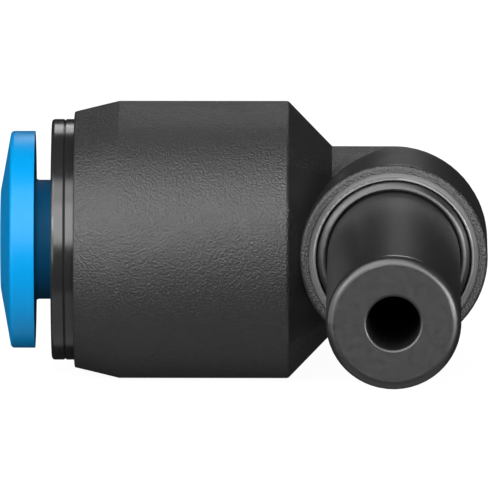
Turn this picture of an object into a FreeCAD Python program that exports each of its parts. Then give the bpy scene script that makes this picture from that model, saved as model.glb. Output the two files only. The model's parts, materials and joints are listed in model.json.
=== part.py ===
import FreeCAD, Part
import os
import Sketcher

# Push-to-connect elbow: a socket that grips a 4 mm tube, and a swivelling 6 mm plug-in stem at right
# angles to it. Millimetres. The row's origin is on the stem's axis at the collar's face, the tube's
# axis runs along X with its mouth towards -X, and the stem points along -Y.
#
# Every turned piece is drawn as (station, radius) on its own axis. Stations count from the elbow's
# centre, where the two axes meet, outwards to the tube's mouth or to the stem's tip.

SIZES = [
    # elbow housing, outside
    ("collar_face", 5.92, "elbow centre to the collar's face"),
    ("neck_radius", 4.25, "slim neck, ball corner and collar"),
    ("cone_small_end", 2.80, "where the neck meets the cone"),
    ("cone_large_end", 4.79, "where the cone meets the barrel"),
    ("barrel_radius", 6.30, "largest radius of the housing"),
    ("taper_start", 12.47, "where the barrel starts to taper"),
    ("housing_front", 14.50, "front face of the housing"),
    ("housing_front_radius", 5.81, "radius of that face"),
    ("moulded_edge", 0.10, "rounding of the housing's front face"),
    ("cone_edge", 0.18, "rounding between barrel and cone"),
    ("collar_edge", 0.18, "rounding of the collar's rim"),
    # tube side, inside
    ("flow_radius", 1.25, "drilling that joins the two sockets"),
    ("tube_stop", 4.30, "shoulder that the tube's end meets"),
    ("socket_radius", 2.10, "guide for a 4 mm tube"),
    ("socket_lead", 0.20, "chamfer into that guide"),
    ("pocket_floor", 8.62, "inner end of the tube seal's pocket"),
    ("pocket_radius", 3.45, "pocket of the tube seal"),
    ("washer_seat", 10.20, "shoulder under the support washer"),
    ("washer_front", 10.80, "washer's other face, against the sleeve"),
    ("washer_bore", 2.20, "hole of the washer"),
    ("cartridge_radius", 4.75, "bore that takes the sleeve"),
    ("barb_radius", 4.87, "sleeve's barb and the groove for it"),
    ("barb_inner", 12.40, "steep flank of the barb, inner side"),
    ("barb_outer", 13.10, "end of the barb's slope"),
    # cartridge sleeve and cap
    ("wedge_radius", 3.55, "wide end of the sleeve's wedge"),
    ("wedge_wide_end", 11.40, "station of the wide end"),
    ("wedge_narrow_end", 13.60, "station of the narrow end"),
    ("sleeve_bore", 2.79, "bore round the collet's neck"),
    ("spigot_seat", 14.25, "floor of the recess for the cap"),
    ("spigot_radius", 3.70, "cap's spigot and its recess"),
    ("cap_back", 14.92, "joint between sleeve flange and cap"),
    ("cap_front", 15.53, "front face of the cap"),
    ("ring_radius", 5.47, "outside of the cap and sleeve flange"),
    ("cap_front_edge", 0.15, "rounding of the cap's front"),
    ("joint_edge", 0.06, "chamfers that make the V-groove"),
    # release collet
    ("collet_end", 11.75, "inner end of the fingers"),
    ("head_start", 13.10, "where the fingers thicken into heads"),
    ("head_gap", 0.06, "gap between heads and wedge"),
    ("neck_outer", 2.71, "outside of the collet's neck"),
    ("rim_back", 16.29, "back face of the release rim"),
    ("rim_front", 17.37, "outer edge of the rim's cone"),
    ("mouth_front", 17.85, "foremost edge, round the mouth"),
    ("rim_radius", 4.93, "outside of the release rim"),
    ("mouth_radius", 2.25, "mouth of the collet"),
    ("mouth_lead", 0.33, "length of the lead-in"),
    ("rim_edge", 0.18, "rounding of the rim"),
    ("neck_fillet", 0.20, "fillet between neck and rim"),
    ("slot_end", 14.50, "outer end of the slots"),
    ("slot_width", 0.35, "slots between the fingers"),
    ("finger_count", 8, "fingers, one tooth in each"),
    # grip teeth, one leaning plate in each finger
    ("tooth_tip_inner", 12.20, "inner corner of the biting edge"),
    ("tooth_tip_outer", 12.28, "outer corner of the biting edge"),
    ("tooth_tip_radius", 1.90, "radius of the biting edge"),
    ("tooth_root_inner", 12.50, "inner corner of the root"),
    ("tooth_root_outer", 12.76, "outer corner of the root"),
    ("tooth_root_radius", 2.85, "radius of the root"),
    ("tooth_angle", 26, "degrees that one tooth spans"),
    # tube seal
    ("seal_inner", 1.90, "free inner radius, a squeeze on the tube"),
    ("seal_outer", 3.43, "free outer radius"),
    # stem side, inside
    ("spigot_floor", 1.75, "floor of the stem's socket"),
    ("spigot_bore", 2.85, "bore that the stem turns in"),
    ("thrust_seat", 3.90, "shoulder under the stem's flange"),
    ("bush_bore", 3.88, "mouth of the collar, takes the bush"),
    # stem
    ("stem_inner_end", 1.85, "inner end of the stem"),
    ("stem_spigot", 2.80, "part that turns in the socket"),
    ("stem_chamfer", 0.25, "chamfer on its inner end"),
    ("groove_inner", 2.35, "seal groove, inner flank"),
    ("groove_outer", 3.35, "seal groove, outer flank"),
    ("groove_radius", 2.00, "floor of that groove"),
    ("flange_inner", 3.95, "inner face of the captive flange"),
    ("flange_outer", 4.65, "outer face of that flange"),
    ("flange_radius", 3.79, "captive flange"),
    ("shoulder_radius", 3.47, "shoulder that turns inside the bush"),
    ("bead_inner_radius", 3.06, "inner side of the bead on its front"),
    ("bead_front", 5.87, "front of that bead, just inside the collar's face"),
    ("bead_root", 5.74, "where the bead's inner flank meets the stem"),
    ("bead_crest_radius", 3.22, "where the bead's front starts to slope back"),
    ("bead_slope_end", 5.72, "where that slope meets the shoulder"),
    ("bead_inner_edge", 0.12, "rounding of the bead's inner edge"),
    ("bead_crest_edge", 0.30, "rounding of its crest"),
    ("bead_outer_edge", 0.05, "rounding of its outer edge"),
    ("stem_radius", 3.00, "the 6 mm plug-in stem"),
    ("stem_length", 20.70, "from the collar's face to the tip"),
    ("stem_edge", 0.40, "rounding of the tip"),
    ("stem_bore", 1.18, "through bore"),
    ("stem_bore_edge", 0.13, "rounding of the bore's mouth"),
    # retaining bush and stem seal
    ("bush_inner_end", 4.70, "inner end of the bush"),
    ("bush_front", 5.88, "front of the bush's lip"),
    ("bush_ledge", 5.79, "ledge round the lip"),
    ("bush_inner_radius", 3.54, "bore of the bush"),
    ("lip_radius", 3.66, "outside of the lip"),
    ("bush_edge", 0.07, "rounding of the lip"),
    ("ledge_edge", 0.04, "rounding of the ledge"),
    ("stem_seal_section", 0.41, "radius of the stem seal's section"),
]

PARTS_FOLDER = "parts"
SMALLEST_CUT = 1e-4
SAME_PLACE = 1e-5

doc = FreeCAD.newDocument("push_in_elbow")
sheet = doc.addObject("Spreadsheet::Sheet", "Sizes")
for row, (alias, number, meaning) in enumerate(SIZES, start=1):
    sheet.set(f"A{row}", alias.replace("_", " "))
    sheet.set(f"B{row}", str(number))
    sheet.set(f"C{row}", meaning)
    sheet.setAlias(f"B{row}", alias)
doc.recompute()

# Each axis frame has its own X along the axis, outwards, and its base at the elbow's centre.
TUBE_AXIS = FreeCAD.Rotation(FreeCAD.Vector(0, 0, 1), 180)
STEM_AXIS = FreeCAD.Rotation(FreeCAD.Vector(0, 0, 1), -90)


def sized(text):
    """The text with each size's alias written as a reference to the sheet."""
    words = text.replace("(", "( ").replace(")", " )").split()
    aliases = {alias for alias, _, _ in SIZES}
    return " ".join(f"Sizes.{word}" if word in aliases else word for word in words)


def value(text):
    """The number that a text of aliases works out to now."""
    return float(sheet.evalExpression(sized(text)))


def place(thing, rotation):
    """Put a piece on one of the two axes, with its base at the elbow's centre."""
    thing.Placement = FreeCAD.Placement(FreeCAD.Vector(0, value("collar_face"), 0), rotation)
    thing.setExpression("Placement.Base.y", sized("collar_face"))


def new_body(name, rotation):
    body = doc.addObject("PartDesign::Body", name)
    body.Label = name
    place(body, rotation)
    return body


def origin_feature(body, role):
    return next(item for item in body.Origin.OriginFeatures if item.Role == role)


def new_sketch(body, name, turn=None):
    """A sketch on the body's XY plane, turned about the body's X axis by an expression if given."""
    sketch = body.newObject("Sketcher::SketchObject", name)
    sketch.AttachmentSupport = (origin_feature(body, "XY_Plane"), [""])
    sketch.MapMode = "FlatFace"
    if turn:
        turned_plane = FreeCAD.Rotation(FreeCAD.Vector(1, 0, 0), value(turn))
        sketch.AttachmentOffset = FreeCAD.Placement(FreeCAD.Vector(), turned_plane)
        sketch.setExpression("AttachmentOffset.Rotation.Angle", sized(turn))
    return sketch


def draw(sketch, corners):
    """Close a straight-sided outline through corners of two texts each, every one bound to the sheet."""
    points = [FreeCAD.Vector(value(across), value(up), 0) for across, up in corners]
    count = len(points)
    for index in range(count):
        sketch.addGeometry(Part.LineSegment(points[index], points[(index + 1) % count]), False)
    for index in range(count):
        following = (index + 1) % count
        sketch.addConstraint(Sketcher.Constraint("Coincident", index, 2, following, 1))
    for index, (across, up) in enumerate(corners):
        for kind, text, axis in (("DistanceX", across, -2), ("DistanceY", up, -1)):
            if text == "0":
                sketch.addConstraint(Sketcher.Constraint("PointOnObject", index, 1, axis))
                continue
            rule = Sketcher.Constraint(kind, -1, 1, index, 1, value(text))
            number = sketch.addConstraint(rule)
            sketch.setExpression(f"Constraints[{number}]", sized(text))


def solve(feature):
    """Recompute, and stop if a cut took nothing away."""
    before = feature.BaseFeature.Shape.Volume if feature.BaseFeature else 0.0
    doc.recompute()
    if abs(feature.Shape.Volume - before) < SMALLEST_CUT:
        raise RuntimeError(f"{feature.Name} changed nothing")
    return feature


def turned(body, name, corners, kind="Revolution", along="X", angle="360", turn=None):
    """Revolve an outline of (station, radius) corners about the body's X or Y axis."""
    sketch = new_sketch(body, f"{name}_outline", turn)
    draw(sketch, corners if along == "X" else [(radius, station) for station, radius in corners])
    feature = body.newObject(f"PartDesign::{kind}", name)
    feature.Profile = sketch
    feature.ReferenceAxis = (sketch, ["H_Axis" if along == "X" else "V_Axis"])
    feature.Midplane = True
    feature.Angle = value(angle)
    feature.setExpression("Angle", sized(angle))
    return solve(feature)


def is_ring(edge, centre, radius):
    """True if an edge lies on the circle of this centre and radius. Degenerate edges have no curve."""
    if edge.Degenerated or not isinstance(edge.Curve, Part.Circle):
        return False
    circle = edge.Curve
    return circle.Center.isEqual(centre, SAME_PLACE) and abs(circle.Radius - radius) < SAME_PLACE


def rings(body, places, along="X"):
    """Names of the circular edges at (station, radius) places on the body's X or Y axis."""
    found = []
    edges = body.Tip.Shape.Edges
    for station, radius in places:
        offset = value(station)
        centre = FreeCAD.Vector(offset, 0, 0) if along == "X" else FreeCAD.Vector(0, offset, 0)
        names = [
            f"Edge{number}"
            for number, edge in enumerate(edges, start=1)
            if is_ring(edge, centre, value(radius))
        ]
        if not names:
            raise RuntimeError(f"{body.Name} has no ring at {station}, {radius}")
        found += names
    return found


def dress(body, name, kind, places, size, along="X"):
    """Fillet or chamfer the rings at these places."""
    edges = rings(body, places, along)
    feature = body.newObject(f"PartDesign::{kind}", name)
    feature.Base = (body.Tip if body.Tip != feature else feature.BaseFeature, edges)
    prop = "Radius" if kind == "Fillet" else "Size"
    setattr(feature, prop, value(size))
    feature.setExpression(prop, sized(size))
    return solve(feature)


def round_ring(name, rotation, station, inner, section):
    """A rubber ring of round section: inner radius and section radius are texts of aliases."""
    ring = doc.addObject("Part::Torus", name)
    ring.Label = name
    ring.setExpression("Radius1", sized(f"{inner} + {section}"))
    ring.setExpression("Radius2", sized(section))
    # a torus lies round its own Z axis, so it is first tipped on to the piece's X axis
    tipped = rotation.multiply(FreeCAD.Rotation(FreeCAD.Vector(0, 1, 0), 90))
    along = rotation.multVec(FreeCAD.Vector(1, 0, 0))
    base = FreeCAD.Vector(0, value("collar_face"), 0) + along * value(station)
    ring.Placement = FreeCAD.Placement(base, tipped)
    for letter, share in (("x", along.x), ("y", along.y)):
        start = "collar_face" if letter == "y" else "0"
        text = f"{start} + ( {round(share)} ) * ( {station} )"
        ring.setExpression(f"Placement.Base.{letter}", sized(text))
    return ring


def make_elbow_housing():
    body = new_body("elbow_housing", TUBE_AXIS)
    turned(body, "barrel", [
        ("0", "0"),
        ("housing_front", "0"),
        ("housing_front", "housing_front_radius"),
        ("taper_start", "barrel_radius"),
        ("cone_large_end", "barrel_radius"),
        ("cone_small_end", "neck_radius"),
        ("0", "neck_radius"),
    ])
    ball = body.newObject("PartDesign::AdditiveSphere", "corner_ball")
    ball.setExpression("Radius", sized("neck_radius"))
    solve(ball)
    turned(body, "collar", [
        ("0", "0"),
        ("collar_face", "0"),
        ("collar_face", "neck_radius"),
        ("0", "neck_radius"),
    ], along="Y")
    turned(body, "tube_side_bore", [
        ("0", "0"),
        ("0", "flow_radius"),
        ("tube_stop", "flow_radius"),
        ("tube_stop", "socket_radius"),
        ("pocket_floor - socket_lead", "socket_radius"),
        ("pocket_floor", "socket_radius + socket_lead"),
        ("pocket_floor", "pocket_radius"),
        ("washer_seat", "pocket_radius"),
        ("washer_seat", "cartridge_radius"),
        ("barb_inner", "cartridge_radius"),
        ("barb_inner", "barb_radius"),
        ("barb_outer", "cartridge_radius"),
        ("housing_front", "cartridge_radius"),
        ("housing_front", "0"),
    ], kind="Groove")
    turned(body, "stem_side_bore", [
        ("0", "0"),
        ("0", "flow_radius"),
        ("spigot_floor", "flow_radius"),
        ("spigot_floor", "spigot_bore"),
        ("thrust_seat", "spigot_bore"),
        ("thrust_seat", "bush_bore"),
        ("collar_face", "bush_bore"),
        ("collar_face", "0"),
    ], kind="Groove", along="Y")
    front = [("housing_front", "housing_front_radius")]
    dress(body, "front_rounding", "Fillet", front, "moulded_edge")
    shoulder = [("cone_large_end", "barrel_radius")]
    dress(body, "cone_rounding", "Fillet", shoulder, "cone_edge")
    rim = [("collar_face", "neck_radius")]
    dress(body, "collar_rounding", "Fillet", rim, "collar_edge", "Y")
    return body


def make_cartridge_sleeve():
    body = new_body("cartridge_sleeve", TUBE_AXIS)
    turned(body, "sleeve", [
        ("washer_front", "wedge_radius"),
        ("wedge_wide_end", "wedge_radius"),
        ("wedge_narrow_end", "sleeve_bore"),
        ("spigot_seat", "sleeve_bore"),
        ("spigot_seat", "spigot_radius"),
        ("cap_back", "spigot_radius"),
        ("cap_back", "ring_radius"),
        ("housing_front", "ring_radius"),
        ("housing_front", "cartridge_radius"),
        ("barb_outer", "cartridge_radius"),
        ("barb_inner", "barb_radius"),
        ("barb_inner", "cartridge_radius"),
        ("washer_front", "cartridge_radius"),
    ])
    dress(body, "groove_side", "Chamfer", [("cap_back", "ring_radius")], "joint_edge")
    return body


def make_retaining_cap():
    body = new_body("retaining_cap", TUBE_AXIS)
    turned(body, "cap", [
        ("spigot_seat", "sleeve_bore"),
        ("cap_front", "sleeve_bore"),
        ("cap_front", "ring_radius"),
        ("cap_back", "ring_radius"),
        ("cap_back", "spigot_radius"),
        ("spigot_seat", "spigot_radius"),
    ])
    dress(body, "groove_side", "Chamfer", [("cap_back", "ring_radius")], "joint_edge")
    dress(body, "front_edge", "Fillet", [("cap_front", "ring_radius")], "cap_front_edge")
    return body


TOOTH_OUTLINE = [
    ("tooth_tip_inner", "tooth_tip_radius"),
    ("tooth_tip_outer", "tooth_tip_radius"),
    ("tooth_root_outer", "tooth_root_radius"),
    ("tooth_root_inner", "tooth_root_radius"),
]


def head_radius(station):
    """Text for the heads' outside at a station: parallel to the wedge, a gap inside it."""
    slope = "( wedge_radius - sleeve_bore ) / ( wedge_narrow_end - wedge_wide_end )"
    return f"wedge_radius - head_gap - ( {station} - wedge_wide_end ) * {slope}"


def repeat_round(body, name, feature):
    """Repeat a cut round the body's X axis, once per finger."""
    pattern = body.newObject("PartDesign::PolarPattern", name)
    pattern.Originals = [feature]
    pattern.Axis = (origin_feature(body, "X_Axis"), [""])
    pattern.Angle = 360
    pattern.Occurrences = int(value("finger_count"))
    pattern.setExpression("Occurrences", sized("finger_count"))
    body.Tip = pattern
    return solve(pattern)


def make_release_collet():
    body = new_body("release_collet", TUBE_AXIS)
    turned(body, "collet", [
        ("collet_end", "socket_radius"),
        ("mouth_front - mouth_lead", "socket_radius"),
        ("mouth_front", "mouth_radius"),
        ("rim_front", "rim_radius"),
        ("rim_back", "rim_radius"),
        ("rim_back", "neck_outer"),
        ("head_start", "neck_outer"),
        ("head_start", head_radius("head_start")),
        ("collet_end", head_radius("collet_end")),
    ])
    dress(body, "rim_rounding", "Fillet", [("rim_front", "rim_radius")], "rim_edge")
    dress(body, "neck_rounding", "Fillet", [("rim_back", "neck_outer")], "neck_fillet")
    sketch = new_sketch(body, "slot_outline")
    draw(sketch, [
        ("collet_end - slot_width", "seal_inner"),
        ("slot_end", "seal_inner"),
        ("slot_end", "pocket_radius"),
        ("collet_end - slot_width", "pocket_radius"),
    ])
    slot = body.newObject("PartDesign::Pocket", "slot")
    slot.Profile = sketch
    slot.Midplane = True
    slot.setExpression("Length", sized("slot_width"))
    solve(slot)
    repeat_round(body, "slots", slot)
    # the teeth sit half way between the slots
    seat = turned(body, "tooth_seat", TOOTH_OUTLINE, kind="Groove", angle="tooth_angle",
                  turn="180 / finger_count")
    repeat_round(body, "tooth_seats", seat)
    return body


def make_grip_tooth(index):
    body = new_body(f"grip_tooth_{index}", TUBE_AXIS)
    turned(body, f"plate_{index}", TOOTH_OUTLINE, angle="tooth_angle",
           turn=f"( {index} - 0.5 ) * 360 / finger_count")
    return body


def make_seal_support_washer():
    body = new_body("seal_support_washer", TUBE_AXIS)
    turned(body, "washer", [
        ("washer_seat", "washer_bore"),
        ("washer_front", "washer_bore"),
        ("washer_front", "cartridge_radius"),
        ("washer_seat", "cartridge_radius"),
    ])
    return body


def make_tube_seal():
    section = "( seal_outer - seal_inner ) / 2"
    middle = "( pocket_floor + washer_seat ) / 2"
    return round_ring("tube_seal", TUBE_AXIS, middle, "seal_inner", section)


def make_plug_stem():
    body = new_body("plug_stem", STEM_AXIS)
    turned(body, "stem", [
        ("stem_inner_end", "stem_bore"),
        ("stem_inner_end", "stem_spigot"),
        ("groove_inner", "stem_spigot"),
        ("groove_inner", "groove_radius"),
        ("groove_outer", "groove_radius"),
        ("groove_outer", "stem_spigot"),
        ("flange_inner", "stem_spigot"),
        ("flange_inner", "flange_radius"),
        ("flange_outer", "flange_radius"),
        ("flange_outer", "shoulder_radius"),
        ("bead_slope_end", "shoulder_radius"),
        ("bead_front", "bead_crest_radius"),
        ("bead_front", "bead_inner_radius"),
        ("bead_root", "stem_radius"),
        ("collar_face + stem_length", "stem_radius"),
        ("collar_face + stem_length", "stem_bore"),
    ])
    tip = "collar_face + stem_length"
    dress(body, "tip_edge", "Fillet", [(tip, "stem_radius")], "stem_edge")
    dress(body, "mouth_edge", "Fillet", [(tip, "stem_bore")], "stem_bore_edge")
    crest = [("bead_front", "bead_crest_radius")]
    dress(body, "bead_crest", "Fillet", crest, "bead_crest_edge")
    dress(body, "bead_inside", "Fillet", [("bead_front", "bead_inner_radius")], "bead_inner_edge")
    outside = [("bead_slope_end", "shoulder_radius")]
    dress(body, "bead_outside", "Fillet", outside, "bead_outer_edge")
    inner = [("stem_inner_end", "stem_spigot")]
    dress(body, "lead_in", "Chamfer", inner, "stem_chamfer")
    return body


def make_stem_retaining_bush():
    body = new_body("stem_retaining_bush", STEM_AXIS)
    turned(body, "bush", [
        ("bush_inner_end", "bush_inner_radius"),
        ("bush_front", "bush_inner_radius"),
        ("bush_front", "lip_radius"),
        ("bush_ledge", "lip_radius"),
        ("bush_ledge", "bush_bore"),
        ("bush_inner_end", "bush_bore"),
    ])
    dress(body, "lip_rounding", "Fillet", [("bush_front", "lip_radius")], "bush_edge")
    dress(body, "ledge_rounding", "Fillet", [("bush_ledge", "bush_bore")], "ledge_edge")
    return body


def make_stem_seal():
    middle = "( groove_inner + groove_outer ) / 2"
    return round_ring("stem_seal", STEM_AXIS, middle, "groove_radius", "stem_seal_section")


def check(pieces):
    """Stop if anything failed to recompute or a piece isn't one sound solid."""
    for item in doc.Objects:
        if {"Invalid", "Error"} & set(item.State):
            raise RuntimeError(f"{item.Name} did not recompute: {item.State}")
    for piece in pieces:
        shape = piece.Shape
        if shape.isNull() or not shape.isValid() or len(shape.Solids) != 1:
            raise RuntimeError(f"{piece.Label} is not one valid solid")


pieces = [
    make_elbow_housing(),
    make_cartridge_sleeve(),
    make_retaining_cap(),
    make_release_collet(),
    *[make_grip_tooth(index + 1) for index in range(int(value("finger_count")))],
    make_seal_support_washer(),
    make_tube_seal(),
    make_plug_stem(),
    make_stem_retaining_bush(),
    make_stem_seal(),
]
doc.recompute()
check(pieces)

os.makedirs(PARTS_FOLDER, exist_ok=True)
for piece in pieces:
    piece.Shape.exportStep(f"{PARTS_FOLDER}/{piece.Label}.step")
    box = piece.Shape.BoundBox
    print(f"{piece.Label:22s} {piece.Shape.Volume:9.3f} mm3  "
          f"x {box.XMin:7.2f} {box.XMax:7.2f}  y {box.YMin:7.2f} {box.YMax:7.2f}  "
          f"z {box.ZMin:7.2f} {box.ZMax:7.2f}")
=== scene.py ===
import json
import math
import bmesh
import bpy
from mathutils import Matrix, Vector


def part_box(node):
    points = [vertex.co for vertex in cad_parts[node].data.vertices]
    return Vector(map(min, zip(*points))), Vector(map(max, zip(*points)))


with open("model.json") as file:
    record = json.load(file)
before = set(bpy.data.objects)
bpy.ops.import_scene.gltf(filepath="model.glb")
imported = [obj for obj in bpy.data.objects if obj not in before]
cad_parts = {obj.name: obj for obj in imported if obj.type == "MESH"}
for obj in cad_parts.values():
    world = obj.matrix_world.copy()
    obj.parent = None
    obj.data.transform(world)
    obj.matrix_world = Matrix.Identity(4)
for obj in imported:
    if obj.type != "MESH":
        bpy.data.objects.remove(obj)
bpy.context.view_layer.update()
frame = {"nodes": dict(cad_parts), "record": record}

# A black push-in elbow with a blue release ring and a plug-in stem. Every solid is the frame's own; this
# script gives each one its finish and adds the studio. Metres, in the frame's own axes: the stem points
# along -Y towards the camera and the tube's socket opens along -X.

MM = 0.001
mounts = {mount["name"]: mount for mount in frame["record"]["mounts"]}
TUBE_AXIS_Y = mounts["tube_socket"]["pos_m"][1]
HOUSING_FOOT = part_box("elbow_housing")[0].z

# Where the grain ends: the barrel's inner end, and just behind the collar's face, which is at Y = 0
GRAINED_BARREL_END = -4.85 * MM
GRAINED_FACE_DEPTH = 0.12 * MM

# The release ring's neck, whose colour is darkened as painted shade: how far it reaches from the tube's
# axis, and where it starts, before the cap
RELEASE_NECK_REACH = 3.2 * MM
RELEASE_NECK_GAP = 0.8 * MM
RELEASE_NECK_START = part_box("retaining_cap")[0].x - RELEASE_NECK_GAP

# Camera: a long lens, a little above the horizon. FIELD is the width it sees at the object
ELEVATION = math.radians(8.0)
LENS = 1500.0
SENSOR = 36.0
FIELD = 22.27 * MM
ACROSS = -6.76 * MM
DROP = 0.25 * MM
FAR_CLIP = 10.0

# Studio: a round floor, and soft lights at one distance from the object
SWEEP_RADIUS = 2.6
SWEEP_CURVE = 0.8
SWEEP_STEPS = 12
SWEEP_SIDES = 64
LIGHT_REACH = 0.6
LIGHT_POWER = 4.0    # that a rectangular light is given for each unit of radiance and area


# ---------------------------------------------------------------- shader helpers

def node(tree, kind, inputs=None, **settings):
    """A shader node with its settings, its plain inputs and its linked inputs."""
    made = tree.nodes.new("ShaderNode" + kind)
    for name, setting in settings.items():
        setattr(made, name, setting)
    for name, content in (inputs or {}).items():
        if isinstance(content, bpy.types.NodeSocket):
            tree.links.new(content, made.inputs[name])
        else:
            made.inputs[name].default_value = content
    return made


def start(name, colour, roughness, specular=0.5, metallic=0.0):
    """A material with a Principled shader, and the object's coordinates."""
    material = bpy.data.materials.new(name)
    material.use_nodes = True
    tree = material.node_tree
    shader = tree.nodes["Principled BSDF"]
    shader.inputs["Base Color"].default_value = (*colour, 1.0)
    shader.inputs["Roughness"].default_value = roughness
    shader.inputs["Specular IOR Level"].default_value = specular
    shader.inputs["Metallic"].default_value = metallic
    place = node(tree, "TexCoord").outputs["Object"]
    return material, tree, shader, place


def noise(tree, place, size, detail=2.0, rough=0.5):
    """Noise whose lumps are about size across."""
    inputs = {"Vector": place, "Scale": 1.0 / size, "Detail": detail, "Roughness": rough}
    return node(tree, "TexNoise", inputs).outputs["Fac"]


def spread(tree, factor, low, high):
    """The middle of a noise's range stretched over low to high."""
    inputs = {"Value": factor, "From Min": 0.3, "From Max": 0.7, "To Min": low, "To Max": high}
    return node(tree, "MapRange", inputs).outputs["Result"]


def maths(tree, operation, first, second):
    """One arithmetic step."""
    made = node(tree, "Math", operation=operation)
    for socket, content in zip(made.inputs, (first, second)):
        if isinstance(content, bpy.types.NodeSocket):
            tree.links.new(content, socket)
        else:
            socket.default_value = content
    return made.outputs["Value"]


def vary_colour(tree, shader, factor, colour, share):
    """Base colour that wanders by share each way with the factor."""
    ramp = node(tree, "ValToRGB", {"Fac": factor})
    for element, sign, stop in zip(ramp.color_ramp.elements, (-1, 1), (0.3, 0.7)):
        element.position = stop
        element.color = (*[band * (1 + sign * share) for band in colour], 1.0)
    tree.links.new(ramp.outputs["Color"], shader.inputs["Base Color"])


def vary_roughness(tree, shader, factor, low, high):
    """Roughness that wanders between low and high with the factor."""
    tree.links.new(spread(tree, factor, low, high), shader.inputs["Roughness"])


def relief(tree, shader, height, depth):
    """Surface relief of the given depth from a height between 0 and 1."""
    bump = node(tree, "Bump", {"Height": height, "Distance": depth, "Strength": 1.0})
    tree.links.new(bump.outputs["Normal"], shader.inputs["Normal"])
    return bump


# ---------------------------------------------------------------- materials

def grain_cover(tree, place):
    """1 where the mould is grained: barrel, taper, neck and the collar's face. 0 on its side and cone."""
    split = node(tree, "SeparateXYZ", {"Vector": place})
    across, along = split.outputs["X"], split.outputs["Y"]
    barrel = maths(tree, "LESS_THAN", across, GRAINED_BARREL_END)
    neck = maths(tree, "LESS_THAN", maths(tree, "ADD", across, TUBE_AXIS_Y), along)
    face = maths(tree, "LESS_THAN", along, GRAINED_FACE_DEPTH)
    return maths(tree, "MAXIMUM", maths(tree, "MAXIMUM", barrel, neck), face)


def grained_black_pbt():
    colour = (0.0085, 0.0085, 0.0088)
    material, tree, shader, place = start("grained_black_pbt", colour, 0.38)
    fine = noise(tree, place, 0.10 * MM, detail=3.0, rough=0.6)
    broad = noise(tree, place, 0.5 * MM)
    vary_colour(tree, shader, noise(tree, place, 1.2 * MM), colour, 0.08)
    vary_roughness(tree, shader, broad, 0.34, 0.42)
    bump = relief(tree, shader, fine, 0.06 * MM)
    tree.links.new(grain_cover(tree, place), bump.inputs["Strength"])
    return material


def smooth_black_plastic():
    colour = (0.010, 0.010, 0.010)
    material, tree, shader, place = start("smooth_black_plastic", colour, 0.2)
    waves = noise(tree, place, 0.8 * MM)
    vary_colour(tree, shader, waves, colour, 0.06)
    vary_roughness(tree, shader, noise(tree, place, 0.25 * MM), 0.17, 0.23)
    relief(tree, shader, waves, 0.002 * MM)
    return material


def satin_black_plastic():
    colour = (0.009, 0.009, 0.009)
    material, tree, shader, place = start("satin_black_plastic", colour, 0.31)
    waves = noise(tree, place, 1.5 * MM)
    vary_colour(tree, shader, waves, colour, 0.05)
    vary_roughness(tree, shader, noise(tree, place, 0.3 * MM), 0.28, 0.34)
    relief(tree, shader, waves, 0.002 * MM)
    return material


def grey_plastic():
    colour = (0.09, 0.09, 0.09)
    material, tree, shader, place = start("grey_plastic", colour, 0.16)
    waves = noise(tree, place, 0.6 * MM)
    vary_colour(tree, shader, waves, colour, 0.05)
    vary_roughness(tree, shader, noise(tree, place, 0.2 * MM), 0.13, 0.19)
    relief(tree, shader, waves, 0.001 * MM)
    return material


def blue_pom():
    """Glossy rim; the neck behind it is matt, and its base colour is darkened as painted shade for the
    shadowed gap between rim and cap.
    """
    colour = (0.0, 0.152, 0.355)
    # Painted shade: this darker blue stands in for the shadow that falls on the neck between the rim and the
    # cap.
    painted_shade_colour = (0.0, 0.085, 0.20)
    material, tree, shader, place = start("blue_pom", colour, 0.32, specular=0.15)
    split = node(tree, "SeparateXYZ", {"Vector": place})
    beside = maths(tree, "SUBTRACT", split.outputs["Y"], TUBE_AXIS_Y)
    beside_squared = maths(tree, "MULTIPLY", beside, beside)
    height_squared = maths(tree, "MULTIPLY", split.outputs["Z"], split.outputs["Z"])
    from_axis = maths(tree, "SQRT", maths(tree, "ADD", beside_squared, height_squared), 0.0)
    narrow = maths(tree, "LESS_THAN", from_axis, RELEASE_NECK_REACH)
    behind_rim = maths(tree, "GREATER_THAN", split.outputs["X"], RELEASE_NECK_START)
    neck = maths(tree, "MULTIPLY", narrow, behind_rim)
    # Painted shade: inside the neck mask the base colour is swapped for the darker painted-shade blue.
    painted_shade_ramp = node(tree, "ValToRGB", {"Fac": neck})
    painted_shade_ramp.color_ramp.elements[0].color = (*colour, 1.0)
    painted_shade_ramp.color_ramp.elements[1].color = (*painted_shade_colour, 1.0)
    tree.links.new(painted_shade_ramp.outputs["Color"], shader.inputs["Base Color"])
    gloss = spread(tree, noise(tree, place, 0.5 * MM), 0.30, 0.34)
    tree.links.new(maths(tree, "ADD", gloss, maths(tree, "MULTIPLY", neck, 0.3)), shader.inputs["Roughness"])
    relief(tree, shader, noise(tree, place, 1.0 * MM), 0.001 * MM)
    return material


def natural_pom():
    colour = (0.72, 0.70, 0.64)
    material, tree, shader, place = start("natural_pom", colour, 0.4)
    waves = noise(tree, place, 0.8 * MM)
    vary_colour(tree, shader, waves, colour, 0.03)
    vary_roughness(tree, shader, waves, 0.36, 0.46)
    relief(tree, shader, waves, 0.002 * MM)
    return material


def seal_rubber():
    colour = (0.02, 0.02, 0.02)
    material, tree, shader, place = start("seal_rubber", colour, 0.6)
    dust = noise(tree, place, 0.12 * MM, detail=3.0)
    vary_colour(tree, shader, dust, colour, 0.15)
    vary_roughness(tree, shader, dust, 0.52, 0.7)
    relief(tree, shader, dust, 0.006 * MM)
    return material


def stainless_steel():
    colour = (0.62, 0.62, 0.60)
    material, tree, shader, place = start("stainless_steel", colour, 0.28, metallic=1.0)
    rolled = node(tree, "Mapping", {"Vector": place, "Scale": (1.0, 0.1, 1.0)}).outputs["Vector"]
    streaks = noise(tree, rolled, 0.05 * MM, detail=3.0)
    vary_colour(tree, shader, streaks, colour, 0.06)
    vary_roughness(tree, shader, streaks, 0.22, 0.36)
    relief(tree, shader, streaks, 0.002 * MM)
    return material


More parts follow.
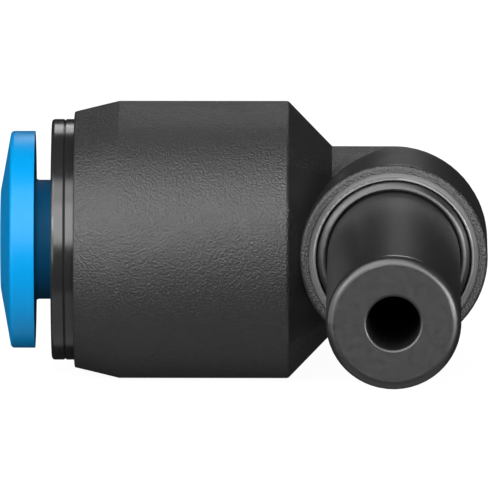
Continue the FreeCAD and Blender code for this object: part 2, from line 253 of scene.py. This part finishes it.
def dress_nodes():
    """Give every solid of the frame the finish that its slot in the record names."""
    makers = (grained_black_pbt, smooth_black_plastic, satin_black_plastic, grey_plastic, blue_pom,
              natural_pom, seal_rubber, stainless_steel)
    finishes = {maker.__name__: maker() for maker in makers}
    slots = {part["node"]: part["material_slot"] for part in frame["record"]["subparts"]}
    for name, solid in frame["nodes"].items():
        solid.data.materials.clear()
        solid.data.materials.append(finishes[slots[name]])


# ---------------------------------------------------------------- studio

def make_camera():
    up = Vector((0, math.sin(ELEVATION), math.cos(ELEVATION)))
    back = Vector((0, -math.cos(ELEVATION), math.sin(ELEVATION)))
    target = Vector((ACROSS, TUBE_AXIS_Y, 0)) - up * DROP
    data = bpy.data.cameras.new("camera")
    data.lens = LENS
    data.sensor_width = SENSOR
    data.clip_end = FAR_CLIP
    camera = bpy.data.objects.new("camera", data)
    bpy.context.scene.collection.objects.link(camera)
    camera.location = Vector((0, target.y, target.z)) + back * LENS * FIELD / SENSOR
    camera.rotation_mode = "QUATERNION"
    camera.rotation_quaternion = (target - camera.location).to_track_quat("-Z", "Y")
    bpy.context.scene.camera = camera


def make_sweep():
    """A pale round floor that curves up into a wall a long way off."""
    outline = [(0.0, 0.0)]
    for step in range(SWEEP_STEPS + 1):
        turn = math.pi / 2 * step / SWEEP_STEPS
        outline.append((SWEEP_RADIUS + SWEEP_CURVE * math.sin(turn), SWEEP_CURVE * (1 - math.cos(turn))))
    outline.append((SWEEP_RADIUS + SWEEP_CURVE, SWEEP_RADIUS))
    mesh = bpy.data.meshes.new("floor")
    shape = bmesh.new()
    points = [shape.verts.new((radius, 0, height)) for radius, height in outline]
    edges = [shape.edges.new(pair) for pair in zip(points, points[1:])]
    bmesh.ops.spin(shape, geom=points + edges, axis=(0, 0, 1), cent=(0, 0, 0),
                   steps=SWEEP_SIDES, angle=2 * math.pi)
    bmesh.ops.remove_doubles(shape, verts=shape.verts, dist=MM)
    bmesh.ops.recalc_face_normals(shape, faces=shape.faces)
    shape.to_mesh(mesh)
    shape.free()
    mesh.shade_smooth()
    floor = bpy.data.objects.new("floor", mesh)
    floor.location = (0, 0, HOUSING_FOOT)
    floor.visible_diffuse = False
    floor.visible_glossy = False
    floor.visible_shadow = False
    bpy.context.scene.collection.objects.link(floor)
    material, tree, shader, place = start("pale_floor", (0.1, 0.1, 0.1), 0.9, specular=0.0)
    shader.inputs["Emission Color"].default_value = (1, 1, 1, 1)
    shader.inputs["Emission Strength"].default_value = 0.95
    mesh.materials.append(material)


def softbox(name, azimuth, elevation, width, height, radiance):
    """A soft light as the object sees it, angles in degrees. Azimuth 0 is the camera's side."""
    turn, rise = math.radians(azimuth), math.radians(elevation)
    way = Vector((math.sin(turn) * math.cos(rise), -math.cos(turn) * math.cos(rise), math.sin(rise)))
    light = bpy.data.lights.new(name, "AREA")
    light.shape = "RECTANGLE"
    light.size = 2 * LIGHT_REACH * math.tan(math.radians(width / 2))
    light.size_y = 2 * LIGHT_REACH * math.tan(math.radians(height / 2))
    light.energy = LIGHT_POWER * radiance * light.size * light.size_y
    lamp = bpy.data.objects.new(name, light)
    lamp.location = way * LIGHT_REACH
    lamp.rotation_mode = "QUATERNION"
    lamp.rotation_quaternion = (-way).to_track_quat("-Z", "Y")
    lamp.visible_camera = False
    bpy.context.scene.collection.objects.link(lamp)


def make_lights():
    softbox("front", 0, 23, 36, 40, 5)
    softbox("front_high", 0, 55, 36, 24, 3)
    softbox("left_key", -40, 20, 36, 14, 9)
    softbox("left_high", -40, 45, 36, 34, 4)
    softbox("left_low", -40, 0, 36, 26, 2.5)
    softbox("left_far", -80, 10, 36, 40, 2)
    softbox("right_key", 36, 7, 36, 12, 16)
    softbox("right_low", 36, -7, 36, 16, 4)
    softbox("back", 175, 38, 15, 20, 3)
    softbox("below", 0, -80, 90, 70, 0.4)
    world = bpy.data.worlds.new("studio")
    world.use_nodes = True
    world.node_tree.nodes["Background"].inputs["Color"].default_value = (1, 1, 1, 1)
    world.node_tree.nodes["Background"].inputs["Strength"].default_value = 0.02
    bpy.context.scene.world = world


make_camera()
dress_nodes()
make_sweep()
make_lights()
bpy.context.scene.view_settings.view_transform = "Standard"
